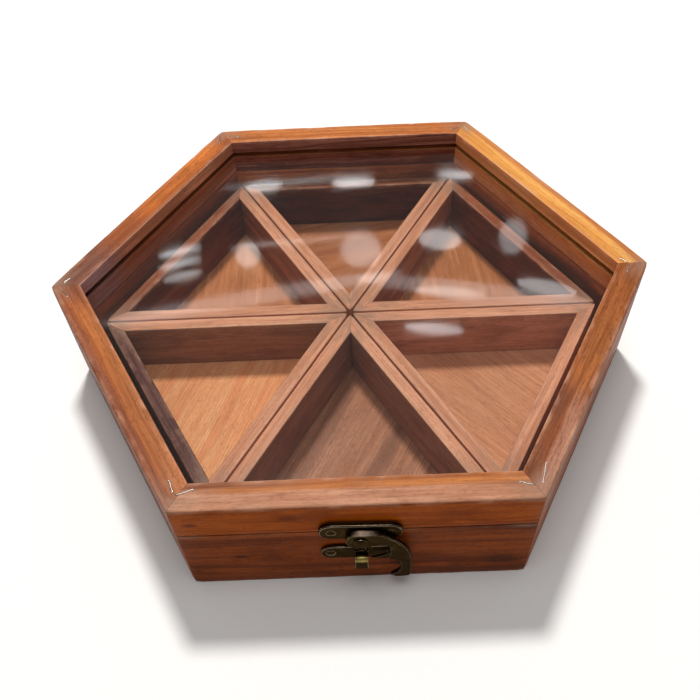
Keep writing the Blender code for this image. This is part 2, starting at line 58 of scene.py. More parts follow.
class Maker:
    """Adds and joins the nodes of one new material."""

    def __init__(self, name):
        self.material = bpy.data.materials.new(name)
        self.material.use_nodes = True
        self.tree = self.material.node_tree
        self.shader = self.tree.nodes["Principled BSDF"]
        self.output = self.tree.nodes["Material Output"]

    def add(self, kind, **settings):
        node = self.tree.nodes.new(kind)
        for key, value in settings.items():
            setattr(node, key, value)
        return node

    def feed(self, socket, value):
        if isinstance(value, bpy.types.NodeSocket):
            self.tree.links.new(value, socket)
        elif value is not None:
            socket.default_value = value

    def place(self):
        """Coordinates in metres at rest, which ride with the piece."""
        return self.add("ShaderNodeTexCoord").outputs["Object"]

    def mapped(self, vector, location=(0, 0, 0), rotation=(0, 0, 0), scale=(1, 1, 1)):
        node = self.add("ShaderNodeMapping")
        self.feed(node.inputs["Vector"], vector)
        node.inputs["Location"].default_value = location
        node.inputs["Rotation"].default_value = rotation
        node.inputs["Scale"].default_value = scale
        return node.outputs[0]

    def maths(self, operation, *values):
        node = self.add("ShaderNodeMath", operation=operation)
        for socket, value in zip(node.inputs, values):
            self.feed(socket, value)
        return node.outputs[0]

    def vector(self, operation, first, second=None, scale=None):
        node = self.add("ShaderNodeVectorMath", operation=operation)
        self.feed(node.inputs[0], first)
        if operation == "SCALE":
            self.feed(node.inputs["Scale"], scale)
        elif second is not None:
            self.feed(node.inputs[1], second)
        return node.outputs["Value" if operation == "LENGTH" else 0]

    def parts(self, vector):
        node = self.add("ShaderNodeSeparateXYZ")
        self.feed(node.inputs[0], vector)
        return node.outputs

    def joined(self, x, y, z):
        node = self.add("ShaderNodeCombineXYZ")
        for socket, value in zip(node.inputs, (x, y, z)):
            self.feed(socket, value)
        return node.outputs[0]

    def noise(self, vector, scale=1.0, detail=2.0, roughness=0.5, colour=False):
        node = self.add("ShaderNodeTexNoise")
        self.feed(node.inputs["Vector"], vector)
        node.inputs["Scale"].default_value = scale
        node.inputs["Detail"].default_value = detail
        node.inputs["Roughness"].default_value = roughness
        return node.outputs["Color" if colour else 0]

    def spread(self, value, low, high, to_low=0.0, to_high=1.0):
        """value from low..high to to_low..to_high, eased at both ends."""
        node = self.add("ShaderNodeMapRange", interpolation_type="SMOOTHSTEP")
        for key, number in (("From Min", low), ("From Max", high), ("To Min", to_low), ("To Max", to_high)):
            node.inputs[key].default_value = number
        self.feed(node.inputs["Value"], value)
        return node.outputs[0]

    def mix(self, factor, first, second, blend="MIX"):
        node = self.add("ShaderNodeMix", data_type="RGBA", blend_type=blend)
        colours = [socket for socket in node.inputs if socket.type == "RGBA"]
        self.feed(node.inputs[0], factor)
        for socket, value in zip(colours, (first, second)):
            self.feed(socket, (*value, 1.0) if isinstance(value, tuple) else value)
        return node.outputs[2]

    def bump(self, height, distance, strength):
        node = self.add("ShaderNodeBump")
        self.feed(node.inputs["Height"], height)
        node.inputs["Distance"].default_value = distance
        node.inputs["Strength"].default_value = strength
        return node.outputs[0]


# ---------------------------------------------------------------- wood

# Light, middle and dark tone of each kind of board.
TONES = {
    "orange": ((0.58, 0.185, 0.045), (0.38, 0.098, 0.019), (0.110, 0.028, 0.008)),
    "golden": ((0.86, 0.360, 0.070), (0.68, 0.235, 0.036), (0.400, 0.105, 0.016)),
    "tan": ((0.60, 0.260, 0.130), (0.44, 0.165, 0.070), (0.180, 0.060, 0.028)),
    "russet": ((0.33, 0.098, 0.038), (0.215, 0.060, 0.022), (0.080, 0.023, 0.011)),
    "violet": ((0.21, 0.098, 0.078), (0.14, 0.062, 0.050), (0.055, 0.026, 0.022)),
    "honey": ((0.80, 0.340, 0.150), (0.64, 0.240, 0.092), (0.330, 0.115, 0.045)),
    "brown": ((0.40, 0.115, 0.025), (0.26, 0.066, 0.012), (0.085, 0.022, 0.006)),
    "pink": ((0.66, 0.315, 0.185), (0.52, 0.215, 0.110), (0.250, 0.092, 0.048)),
}
WORN = (0.62, 0.34, 0.22)
GREYED = (0.30, 0.175, 0.120)
# How strongly each mark colours a board.
PATCHES = 0.45
CLOUDS = 0.30
KNOTS = 0.85
FIBRES = 0.34
FLECKS = 0.42
PORES = 0.35
FIGURE = 0.42
GREYING = 0.85
# How far the rings and the strips' edges wander, and how soft the strips' edges and ends are, in mm.
RING_SWAY = 9
STRIP_SWAY = 5
STRIP_EDGE = 1.2
STRIP_END = 9


def toned(tone, tint):
    """The three tones of a board, multiplied by tint."""
    return tuple(tuple(min(0.95, part * by) for part, by in zip(colour, tint)) for colour in TONES[tone])


def wood(
    name, tone, turn, seed, heart=(30, -40), pitch=2.6, streak=0.6, tint=(1, 1, 1), gloss=0.1,
    strips=(), knots=(), outward_tint_and_shade=None, inner_painted_light=None, inner=None, rub=0.6,
):
    """A sheesham board with its grain along local X, after a turn about Z.

    heart is where the tree's pith lies across the grain and pitch is the spacing of its rings, in mm.
    strips are (tone, low, high, from_x, to_x): other tones between two distances from the box's axis.
    knots are (x, height, radius) in mm. tint multiplies the board. The outward multiplier scales its outward face
    below the top: painted shade on the rails, their sides darker than the lit top, and a plain tint on the walls.
    The inward multiplier scales its inner face, which lies inner mm from the axis: painted light and shade,
    lighter or darker as the light falls on that face. rub is how far its edges are worn.
    """
    make = Maker(name)
    light, middle, dark = toned(tone, tint)
    local = make.mapped(make.place(), rotation=(0, 0, -turn))
    board = make.mapped(local, location=(0.731 * seed, 0.417 * seed, 0.283 * seed))
    centre = make.mapped(local, location=(0, heart[0] * MM, heart[1] * MM))

    sway = make.noise(make.mapped(board, scale=(11, 34, 34)), detail=2.0, colour=True)
    sway = make.vector("SUBTRACT", sway, (0.5, 0.5, 0.5))
    x, y, z = make.parts(make.vector("ADD", centre, make.vector("SCALE", sway, scale=RING_SWAY * MM)))
    radius = make.vector("LENGTH", make.joined(0.0, y, z))
    knotted = 0.0
    for knot_x, knot_z, size in knots:
        spot = make.mapped(local, location=(-knot_x * MM, 0, -knot_z * MM))
        spot = make.vector("MULTIPLY", spot, (0.5 / (size * MM), 0.0, 1 / (size * MM)))
        near = make.spread(make.vector("LENGTH", spot), 1.6, 0.0)
        knotted = make.maths("MAXIMUM", knotted, near)
        radius = make.maths("MULTIPLY_ADD", near, 0.9 * size * MM, radius)
    along = make.maths("MULTIPLY", x, 5.0)
    ring = make.noise(
        make.joined(make.maths("MULTIPLY", radius, 1 / (pitch * MM)), along, seed), detail=3.0, roughness=0.55
    )
    band = make.noise(
        make.joined(make.maths("MULTIPLY", radius, 0.23 / (pitch * MM)), along, seed + 5.0), detail=2.0
    )

    ringed = make.spread(ring, 0.34, 0.66)
    colour = make.mix(ringed, light, middle)
    parts = make.parts(make.vector("ADD", local, make.vector("SCALE", sway, scale=STRIP_SWAY * MM)))
    out = make.maths("MULTIPLY", parts[1], -1.0)
    for other, low, high, from_x, to_x in strips:
        mask = make.maths(
            "MULTIPLY",
            make.spread(out, (low - STRIP_EDGE) * MM, (low + STRIP_EDGE) * MM),
            make.spread(out, (high + STRIP_EDGE) * MM, (high - STRIP_EDGE) * MM),
        )
        started = make.spread(parts[0], (from_x - STRIP_END) * MM, (from_x + STRIP_END) * MM)
        unended = make.spread(parts[0], (to_x + STRIP_END) * MM, (to_x - STRIP_END) * MM)
        mask = make.maths("MULTIPLY", make.maths("MULTIPLY", mask, started), unended)
        strip_light, strip_middle, _ = toned(other, tint)
        colour = make.mix(mask, colour, make.mix(ringed, strip_light, strip_middle))
    colour = make.mix(make.maths("MULTIPLY", make.spread(band, 0.52, 0.70), streak), colour, dark)
    patch = make.noise(make.mapped(board, scale=(16, 60, 60)), detail=4.0, roughness=0.6)
    colour = make.mix(make.maths("MULTIPLY", make.spread(patch, 0.45, 0.7), PATCHES), colour, middle)
    cloud = make.noise(make.mapped(board, scale=(38, 120, 120)), detail=4.0, roughness=0.65)
    colour = make.mix(make.maths("MULTIPLY", make.spread(cloud, 0.5, 0.72), CLOUDS), colour, dark)
    if knots:
        colour = make.mix(make.maths("MULTIPLY", make.spread(knotted, 0.1, 0.9), KNOTS), colour, dark)
    fibre = make.noise(make.mapped(board, scale=(45, 1500, 1500)), detail=3.0, roughness=0.6)
    soaked = make.mix(1.0, colour, dark, "MULTIPLY")
    colour = make.mix(make.spread(fibre, 0.3, 0.7, 0.0, FIBRES), colour, soaked)
    fleck = make.noise(make.mapped(board, scale=(260, 850, 850)), detail=3.0, roughness=0.7)
    colour = make.mix(make.maths("MULTIPLY", make.spread(fleck, 0.52, 0.7), FLECKS), colour, dark)
    pore = make.noise(make.mapped(board, scale=(560, 3400, 3400)), detail=1.0, roughness=0.4)
    thick = make.noise(make.mapped(board, scale=(30, 110, 110)), detail=1.0)
    pore = make.maths("SUBTRACT", pore, make.spread(thick, 0.3, 0.7, 0.07, -0.03))
    pore = make.spread(pore, 0.55, 0.68)
    colour = make.mix(make.maths("MULTIPLY", pore, PORES), colour, dark)

    figure = make.maths("MAXIMUM", make.spread(ring, 0.48, 0.62), make.spread(cloud, 0.47, 0.64))
    figured = make.mix(make.maths("MULTIPLY", figure, FIGURE), colour, dark)
    # Painted shade on the rails' outward faces below the top; on the walls a plain tint.
    if outward_tint_and_shade:
        flat = make.parts(local)
        outward = make.maths(
            "MULTIPLY",
            make.spread(flat[1], (1.6 - APOTHEM) * MM, (0.8 - APOTHEM) * MM),
            make.spread(flat[2], (RAIL_TOP - 0.35) * MM, (RAIL_TOP - 0.95) * MM),
        )
        colour = make.mix(outward, colour, make.mix(1.0, figured, outward_tint_and_shade, "MULTIPLY"))
    # Painted light and shade on the inner face.
    if inner_painted_light:
        inside = make.spread(make.parts(local)[1], (-0.5 - inner) * MM, (-0.25 - inner) * MM)
        colour = make.mix(inside, colour, make.mix(1.0, figured, inner_painted_light, "MULTIPLY"))
    worn = make.add("ShaderNodeAttribute", attribute_name="worn").outputs["Fac"]
    joint = make.add("ShaderNodeAttribute", attribute_name="joint").outputs["Fac"]
    scuff = make.noise(make.mapped(board, scale=(90, 260, 260)), detail=4.0, roughness=0.7)
    worn = make.maths("MULTIPLY", worn, make.spread(scuff, 0.35, 0.6))
    colour = make.mix(make.maths("MULTIPLY", worn, rub), colour, WORN)
    joint = make.maths("MULTIPLY", joint, make.spread(scuff, 0.3, 0.62))
    colour = make.mix(make.maths("MULTIPLY", joint, GREYING), colour, GREYED)

    make.feed(make.shader.inputs["Base Color"], colour)
    rough = make.spread(patch, 0.3, 0.7, 0.36, 0.5)
    rough = make.maths("MULTIPLY_ADD", make.maths("MAXIMUM", pore, worn), 0.2, rough)
    make.feed(make.shader.inputs["Roughness"], rough)
    height = make.maths("SUBTRACT", make.maths("MULTIPLY", fibre, 0.35), pore)
    make.feed(make.shader.inputs["Normal"], make.bump(height, 0.04 * MM, 0.6))
    make.shader.inputs["Specular IOR Level"].default_value = gloss
    return make.material


def paint(node, material):
    """Gives a CAD node its material."""
    thing = NODES[node]
    thing.data.materials.clear()
    thing.data.materials.append(material)


# ---------------------------------------------------------------- wooden bars

GAP = 0.08 * MM
ROUND_STEPS = 4
STATION = 2.3 * MM
# How deep the faces are uneven, and how deep an edge is sanded, dented and nicked.
UNEVEN = 0.05 * MM
SANDED, DENTED, NICKED = 0.04 * MM, 0.16 * MM, 0.35 * MM
# The layers below the top that count as the top when it is sanded down and when it is worn.
TOP_SKIN = 1.1 * MM
TOP_EDGE = 1.5 * MM
# How far from a mitre the top is sanded down and greyed. The greying keeps to the outer part of the top.
SANDED_REACH = 15 * MM
GREYED_REACH = 11 * MM
GREYED_DEPTH = 8.5 * MM
GREYED_FADE = 4 * MM
EDGE_REACH = 1.6 * MM


def outline(corners, pitch):
    """Closed cross-section of a bar, counter-clockwise, as (point, normal, edge).

    corners are (out, up, radius) in mm, all right angles. edge is 1 on a rounded corner and fades beside it.
    """
    count = len(corners)
    spots = [Vector((out, up)) * MM for out, up, _ in corners]
    points = []
    for i, (_, _, radius) in enumerate(corners):
        radius *= MM
        back = (spots[i - 1] - spots[i]).normalized()
        ahead = (spots[(i + 1) % count] - spots[i]).normalized()
        steps = ROUND_STEPS if radius else 0
        for step in range(steps + 1):
            turn = math.radians(90 * step / steps) if steps else 0.0
            normal = -(ahead * math.cos(turn) + back * math.sin(turn)) if steps else -(ahead + back).normalized()
            points.append((spots[i] + (ahead + back + normal) * radius if steps else spots[i].copy(), normal, 1.0))
    filled = []
    for i, (point, normal, edge) in enumerate(points):
        filled.append((point, normal, edge))
        beyond = points[(i + 1) % len(points)][0]
        run = (beyond - point).length
        pieces = max(1, round(run / (pitch * MM)))
        if run < 1.5 * pitch * MM:
            continue
        straight = (beyond - point).normalized()
        flat = Vector((straight.y, -straight.x))
        for step in range(1, pieces):
            share = step / pieces
            inset = min(share, 1 - share) * run
            filled.append((point + (beyond - point) * share, flat, max(0.0, 1 - inset / EDGE_REACH)))
    return filled


def bar(name, node, material, turn, centre, corners, half_angle, corner_round, seed, body, sunk=0.0, pitch=1.7):
    """A mitred wooden bar with hand-sanded unevenness and worn edges, in place of a CAD node.

    half_angle is half the angle at the centre of the ring that the bar is one side of.
    sunk is how far its top is sanded down beside the mitres.
    """
    section = outline(corners, pitch)
    outer = max(point.x for point, _, _ in section)
    top = max(point.y for point, _, _ in section)
    lean = math.tan(half_angle)
    set_in = GAP / 2 / math.cos(half_angle)
    pivot_out = outer - corner_round
    stations = max(8, round(2 * outer * lean / STATION))
    place = Matrix.Translation(centre) @ Matrix.Rotation(turn, 4, "Z")
    shape = bmesh.new()
    worn = shape.verts.layers.float.new("worn")
    joint = shape.verts.layers.float.new("joint")
    rings = []
    for station in range(stations + 1):
        t = 2 * station / stations - 1
        ring = []
        for point, normal, edge in section:
            out, up = point
            x = t * (out * lean - set_in)
            to_mitre = (out * lean - abs(x)) * math.cos(half_angle)
            spot = Vector((x * 40, out * 150, up * 150 + seed * 7.3))
            uneven = 0.5 + 0.5 * noise.noise(spot)
            dent = max(0.0, noise.noise(Vector((x * 130, seed * 3.1, up * 60))) - 0.1)
            nick = max(0.0, noise.noise(Vector((x * 420, seed * 5.7, out * 90))) - 0.35)
            sink = uneven * UNEVEN + edge * (SANDED + DENTED * dent + NICKED * nick)
            if up > top - TOP_SKIN:
                near = max(0.0, 1 - to_mitre / SANDED_REACH)
                sink += sunk * near * near * (3 - 2 * near) * max(0.0, normal.y)
            out -= normal.x * sink
            up -= normal.y * sink
            x = t * (out * lean - set_in)
            depth = outer - out
            turned = corner_round - depth
            if turned > 0 and abs(x) > pivot_out * lean:
                away = Vector((abs(x) - pivot_out * lean, out - pivot_out)).normalized() * turned
                x = math.copysign(pivot_out * lean + away.x, x)
                out = pivot_out + away.y
            vert = shape.verts.new(place @ Vector((x, -out, up)))
            at_top = up > top - TOP_EDGE
            vert[worn] = edge * min(1.0, 0.35 + 1.4 * dent + 2 * nick) * (1.0 if at_top else 0.3)
            beside = max(0.0, 1 - to_mitre / GREYED_REACH) if at_top else 0.0
            vert[joint] = beside * max(0.0, min(1.0, (out - outer + GREYED_DEPTH) / GREYED_FADE))
            ring.append(vert)
        rings.append(ring)
    count = len(section)
    for ring, beyond in zip(rings, rings[1:]):
        for i in range(count):
            shape.faces.new((ring[i], ring[(i + 1) % count], beyond[(i + 1) % count], beyond[i]))
    shape.faces.new(rings[0])
    shape.faces.new(rings[-1])
    bmesh.ops.recalc_face_normals(shape, faces=shape.faces)
    piece = finished(name, shape, material)
    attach(piece, body)
    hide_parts(node)


def finished(name, shape, material, crease=40):
    """A scene object from a bmesh, smooth except across sharp edges."""
    for face in shape.faces:
        face.smooth = True
    for edge in shape.edges:
        if len(edge.link_faces) == 2 and edge.calc_face_angle() > math.radians(crease):
            edge.smooth = False
    mesh = bpy.data.meshes.new(name)
    shape.to_mesh(mesh)
    shape.free()
    mesh.materials.append(material)
    piece = bpy.data.objects.new(name, mesh)
    bpy.context.scene.collection.objects.link(piece)
    return piece


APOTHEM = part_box("lid_rail_back")[1].y / MM
WALL = 11.0
RAIL_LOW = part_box("lid_rail_front")[0].z / MM
RAIL_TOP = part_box("lid_rail_front")[1].z / MM
WALL_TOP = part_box("base_wall_front")[1].z / MM
PANE_LOW, PANE_TOP = (corner.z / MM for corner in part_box("lid_glass"))
GROOVE = (PANE_LOW - 0.06, PANE_TOP + 0.06)
GROOVE_DEPTH = 4.0
CORNER_ROUND = 2.62 * MM
INNER = APOTHEM - WALL

RAIL_SECTION = (
    (APOTHEM, RAIL_LOW, 0.5),
    (APOTHEM, RAIL_TOP, 1.0),
    (INNER, RAIL_TOP, 0.45),
    (INNER, GROOVE[1], 0.1),
    (INNER + GROOVE_DEPTH, GROOVE[1], 0),
    (INNER + GROOVE_DEPTH, GROOVE[0], 0),
    (INNER, GROOVE[0], 0.1),
    (INNER, RAIL_LOW, 0.45),
)
WALL_SECTION = ((APOTHEM, 0, 0.6), (APOTHEM, WALL_TOP, 0.5), (INNER, WALL_TOP, 0.45), (INNER, 0, 0.45))

# A tray's depth from its outer face to its point, and its outer face's distance from the box's axis.
TRAY_DEPTH = 94.7
TRAY_OUT = 95.4
TRAY_IN = TRAY_DEPTH / 3
TRAY_CENTRE = TRAY_OUT - TRAY_IN
TRAY_WALL = 5.7
TRAY_LOW, TRAY_TOP = (corner.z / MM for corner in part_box("tray_front_outer"))
TRAY_SECTION = (
    (TRAY_IN, TRAY_LOW, 0.25),
    (TRAY_IN, TRAY_TOP, 0.45),
    (TRAY_IN - TRAY_WALL, TRAY_TOP, 0.4),
    (TRAY_IN - TRAY_WALL, TRAY_LOW, 0),
)

# What the outward faces' colours are multiplied by below the top: the front rail's, the other rails' and the
# walls'.
# On the rails this is painted shade, their sides darker and deeper in colour than the lit top; on the walls a
# plain tint.
FRONT_PAINTED_SHADE = (0.67, 0.275, 0.01)
SIDE_PAINTED_SHADE = (1.0, 0.71, 0.42)
WALL_SHADE = (1.22, 1.24, 1.0)
# Board of each lid rail: tone, pith, ring pitch, streaks, tint and strips of other tones.
RAILS = {
    "front": (
        "pink", (112, -48), 2.2, 0.62, (0.92, 1.01, 1.10),
        (("orange", 96, 103.6, -48, 70), ("russet", 96, 101.4, -64, -22)),
    ),
    "front_right": (
        "orange", (122, -52), 3.0, 0.45, (0.75, 0.78, 0.92),
        (("russet", 96, 104.8, -70, -14), ("pink", 105.0, 112, -70, -18)),
    ),
    "back_right": ("golden", (140, -20), 3.4, 0.15, (1.0, 1.26, 1.8), (("orange", 106.6, 112, -70, 70),)),
    "back": ("orange", (90, -60), 1.3, 0.25, (1.13, 1.25, 1.5), ()),
    "back_left": (
        "russet", (118, -50), 3.6, 0.4, (1.33, 1.30, 1.16),
        (("orange", 101, 112, -52, 8), ("violet", 96, 112, 34, 70)),
    ),
    "front_left": (
        "orange", (84, -70), 2.8, 0.35, (1.0, 1.08, 1.38),
        (("russet", 106.4, 112, -70, 70), ("russet", 97, 106, -90, -46)),
    ),
}
# Board of each base wall: tone, pith, ring pitch, streaks and tint.
WALLS = {
    # The front wall's tint, darker and deeper in colour than the others', is painted shade.
    "front": ("brown", (102, 14), 3.2, 0.75, (0.66, 0.46, 0.2)),
    "front_right": ("brown", (90, -30), 2.8, 0.6, (0.95, 0.8, 0.6)),
    "back_right": ("orange", (120, -10), 3.0, 0.5, (0.7, 0.6, 0.6)),
    "back": ("brown", (96, 30), 2.6, 0.6, (0.95, 0.8, 0.6)),
    "back_left": ("russet", (118, -30), 3.0, 0.5, (0.9, 0.8, 0.8)),
    "front_left": ("brown", (84, -20), 2.8, 0.6, (0.95, 0.8, 0.6)),
}
RAIL_KNOTS = {"front": ((-57.1, 45.9, 1.6), (-23.3, 48.3, 2.0))}
WALL_KNOTS = {"front": ((53.0, 11.5, 4.2), (-43, 20.7, 1.6))}
# Panel of each tray: direction of its grain from the side, in degrees, streaks and tint.
PANELS = {
    "front": (62, 0.8, (0.68, 0.72, 0.94)),
    "front_right": (72, 0.5, (0.98, 1.12, 1.42)),
    "back_right": (-25, 0.3, (0.80, 0.76, 0.72)),
    "back": (15, 0.3, (0.70, 0.62, 0.58)),
    "back_left": (30, 0.3, (0.85, 0.80, 0.76)),
    "front_left": (-50, 0.15, (1.36, 1.42, 1.52)),
}
# Trays' strips that differ from the rest: tone and tint.
STRIPS = {
    ("front_left", "outer"): ("violet", (0.70, 0.50, 0.56)),
    ("back_left", "outer"): ("russet", (1.15, 1.05, 1.05)),
    ("back", "outer"): ("russet", (1.1, 1.1, 1.1)),
    ("back_right", "outer"): ("russet", (1.25, 1.15, 1.15)),
}
PLAIN_STRIP = ("pink", (1.33, 1.37, 1.46))
# What the inner faces' colours are multiplied by: painted light and shade, each face lighter or darker as the
# light falls on it.
RAIL_INNER_PAINTED_LIGHT = {"back": (0.63, 0.70, 1.7), "back_left": (2.2, 3.2, 5.0), "back_right": (1.35, 1.3, 2.2)}
PLAIN_RAIL_INNER_PAINTED_LIGHT = (1.3, 1.4, 1.7)
# The walls' inner faces lie in the lid's shadow; they are lightened, most on the front right wall: painted light.
WALL_INNER_PAINTED_LIGHT = {"front_right": (2.8, 4.4, 6.0)}
PLAIN_WALL_INNER_PAINTED_LIGHT = (2.2, 2.3, 2.2)
# The tray strips' inner faces are mostly darkened, most in the back tray: painted shade.
STRIP_INNER_PAINTED_SHADE = {
    "front": (0.64, 0.68, 0.78),
    "front_right": (0.98, 1.05, 1.12),
    "front_left": (0.64, 0.65, 0.56),
    "back": (0.54, 0.34, 0.26),
    "back_left": (0.72, 0.60, 0.54),
    "back_right": (0.72, 0.60, 0.54),
}

for k, side in enumerate(SIDES):
    turn = k * SIXTH
    tone, heart, pitch, streak, tint, strips = RAILS[side]
    board = wood(
        f"rail_{side}", tone, turn, 1.3 + k, heart, pitch, streak, tint, strips=strips,
        gloss=0.045 if side == "front" else 0.1, knots=RAIL_KNOTS.get(side, ()),
        outward_tint_and_shade=FRONT_PAINTED_SHADE if side == "front" else SIDE_PAINTED_SHADE, inner_painted_light=RAIL_INNER_PAINTED_LIGHT.get(side, PLAIN_RAIL_INNER_PAINTED_LIGHT), inner=INNER,
    )
    bar(
        f"rail_{side}", f"lid_rail_{side}", board, turn, Vector((0, 0, 0)), RAIL_SECTION,
        math.radians(30), CORNER_ROUND, 1.3 + k, "lid", sunk=0.28 * MM,
    )
    tone, heart, pitch, streak, tint = WALLS[side]
    board = wood(
        f"wall_{side}", tone, turn, 11.7 + k, heart, pitch, streak, tint, knots=WALL_KNOTS.get(side, ()),
        outward_tint_and_shade=WALL_SHADE, inner_painted_light=WALL_INNER_PAINTED_LIGHT.get(side, PLAIN_WALL_INNER_PAINTED_LIGHT), inner=INNER, rub=0.15, gloss=0.06,
    )
    bar(
        f"wall_{side}", f"base_wall_{side}", board, turn, Vector((0, 0, 0)), WALL_SECTION,
        math.radians(30), CORNER_ROUND, 11.7 + k, "base", pitch=2.2,
    )
    tray_place = Matrix.Rotation(turn, 3, "Z") @ Vector((0, -TRAY_CENTRE * MM, 0))
    for j, wall in enumerate(("outer", "divider_right", "divider_left")):
        tone, tint = STRIPS.get((side, wall), PLAIN_STRIP)
        seed = 23.1 + 3 * k + j
        wall_turn = turn + math.radians(120 * j)
        inner = TRAY_IN - TRAY_WALL + TRAY_CENTRE * math.cos(math.radians(120 * j))
        board = wood(
            f"strip_{side}_{wall}", tone, wall_turn, seed, (20 + 5 * j, -30), 2.4, 0.35, tint,
            inner_painted_light=STRIP_INNER_PAINTED_SHADE[side], inner=inner,
        )
        bar(
            f"strip_{side}_{wall}", f"tray_{side}_{wall}", board, wall_turn, tray_place, TRAY_SECTION,
            math.radians(60), 0.8 * MM, seed, f"tray_{side}", pitch=2.0,
        )
    angle, streak, tint = PANELS[side]
    board = wood(f"panel_{side}", "honey", turn + math.radians(angle), 51.9 + k, (25, -22), 3.0, streak, tint)
    paint(f"tray_{side}_floor", board)
paint("base_floor", wood("bottom_panel", "brown", 0.0, 71.3))


# ---------------------------------------------------------------- corner staples

WIRE = 0.28 * MM
WIRE_SIDES = 8
STAPLE_HEIGHT = RAIL_TOP * MM - 0.02 * MM - WIRE
BURIED = 0.8 * MM
HOOK = 0.8 * MM
# Each staple in the lid's top: side, hooked end, end at the mitre, as (x, out) in mm.
STAPLES = (
    ("front", (-54.9, 101.5), (-60.8, 103.6)),
    ("front_left", (52.8, 103.9), (58.2, 104.7)),
    ("front", (55.5, 103.2), (60.4, 104.8)),
    ("front_right", (-50.6, 104.9), (-58.9, 106.7)),
    ("back_left", (56.0, 105.5), (59.7, 106.1)),
    ("front_left", (-53.2, 105.4), (-58.1, 106.5)),
    ("back_right", (-55.5, 101.5), (-59.1, 102.6)),
    ("front_right", (54.0, 103.5), (58.5, 103.0)),
    ("back_left", (-54.2, 104.1), (-59.3, 107.6)),
    ("back", (54.0, 103.6), (58.9, 105.0)),
    ("back_right", (56.9, 105.5), (59.5, 104.9)),
    ("back", (-54.4, 102.2), (-58.6, 104.1)),
)


def eased(points, steps=4):
    """A smooth path through the points."""
    path = []
    ends = [points[0] * 2 - points[1], *points, points[-1] * 2 - points[-2]]
    for before, start, end, after in zip(ends, ends[1:], ends[2:], ends[3:]):
        for step in range(steps):
            t = step / steps
            path.append(0.5 * (
                2 * start + (end - before) * t
                + (2 * before - 5 * start + 4 * end - after) * t ** 2
                + (3 * start - before - 3 * end + after) * t ** 3
            ))
    return [*path, points[-1]]


def staple(name, side, hook, mitre, material):
    """Half of a corner staple: a wire in the wood's surface, hooked and driven in at both ends."""
    start = Vector((hook[0], -hook[1], 0)) * MM
    end = Vector((mitre[0], -mitre[1], 0)) * MM
    along = (end - start).normalized()
    away = Vector((0, -1, 0))
    down = Vector((0, 0, -1))
    path = eased([
        start + away * HOOK + down * BURIED,
        start + away * HOOK * 0.9 + down * BURIED * 0.2,
        start + away * HOOK * 0.45,
        start + along * 0.35 * MM,
        start.lerp(end, 0.5) + away * 0.12 * MM,
        end - along * 0.7 * MM,
        end - along * 0.15 * MM + down * BURIED * 0.2,
        end + down * BURIED,
    ])
    place = Matrix.Rotation(SIDES.index(side) * SIXTH, 4, "Z") @ Matrix.Translation((0, 0, STAPLE_HEIGHT))
    shape = bmesh.new()
    rings = []
    beside = along.cross(down)
    for i, point in enumerate(path):
        ahead = (path[min(i + 1, len(path) - 1)] - path[max(i - 1, 0)]).normalized()
        up = beside.cross(ahead).normalized()
        beside = ahead.cross(up).normalized()
        ring = []
        for corner in range(WIRE_SIDES):
            angle = math.tau * corner / WIRE_SIDES
            spot = point + (beside * math.cos(angle) + up * math.sin(angle)) * WIRE
            ring.append(shape.verts.new(place @ spot))
        rings.append(ring)
    for ring, beyond in zip(rings, rings[1:]):
        for i in range(WIRE_SIDES):
            after = (i + 1) % WIRE_SIDES
            shape.faces.new((ring[i], ring[after], beyond[after], beyond[i]))
    shape.faces.new(rings[0])
    shape.faces.new(rings[-1])
    bmesh.ops.recalc_face_normals(shape, faces=shape.faces)
    piece = finished(name, shape, material, crease=60)
    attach(piece, "lid")


# ---------------------------------------------------------------- glass and metal


def glass():
    """A clear pane that mirrors more at a slant, with faint smears."""
    make = Maker("window_glass")
    make.tree.nodes.remove(make.shader)
    place = make.place()
    facing = make.add("ShaderNodeLayerWeight").outputs["Facing"]
    share = make.maths("MULTIPLY_ADD", make.maths("POWER", facing, 5.0), 0.95, 0.045)
    smear = make.noise(make.mapped(place, scale=(30, 90, 30)), detail=4.0, roughness=0.6)
    clear = make.add("ShaderNodeBsdfTransparent")
    clear.inputs["Color"].default_value = (0.955, 0.965, 0.96, 1.0)
    mirror = make.add("ShaderNodeBsdfGlossy")
    make.feed(mirror.inputs["Roughness"], make.spread(smear, 0.3, 0.7, 0.03, 0.065))
    blend = make.add("ShaderNodeMixShader")
    make.feed(blend.inputs[0], share)
    make.feed(blend.inputs[1], clear.outputs[0])
    make.feed(blend.inputs[2], mirror.outputs[0])
    make.feed(make.output.inputs["Surface"], blend.outputs[0])
    return make.material


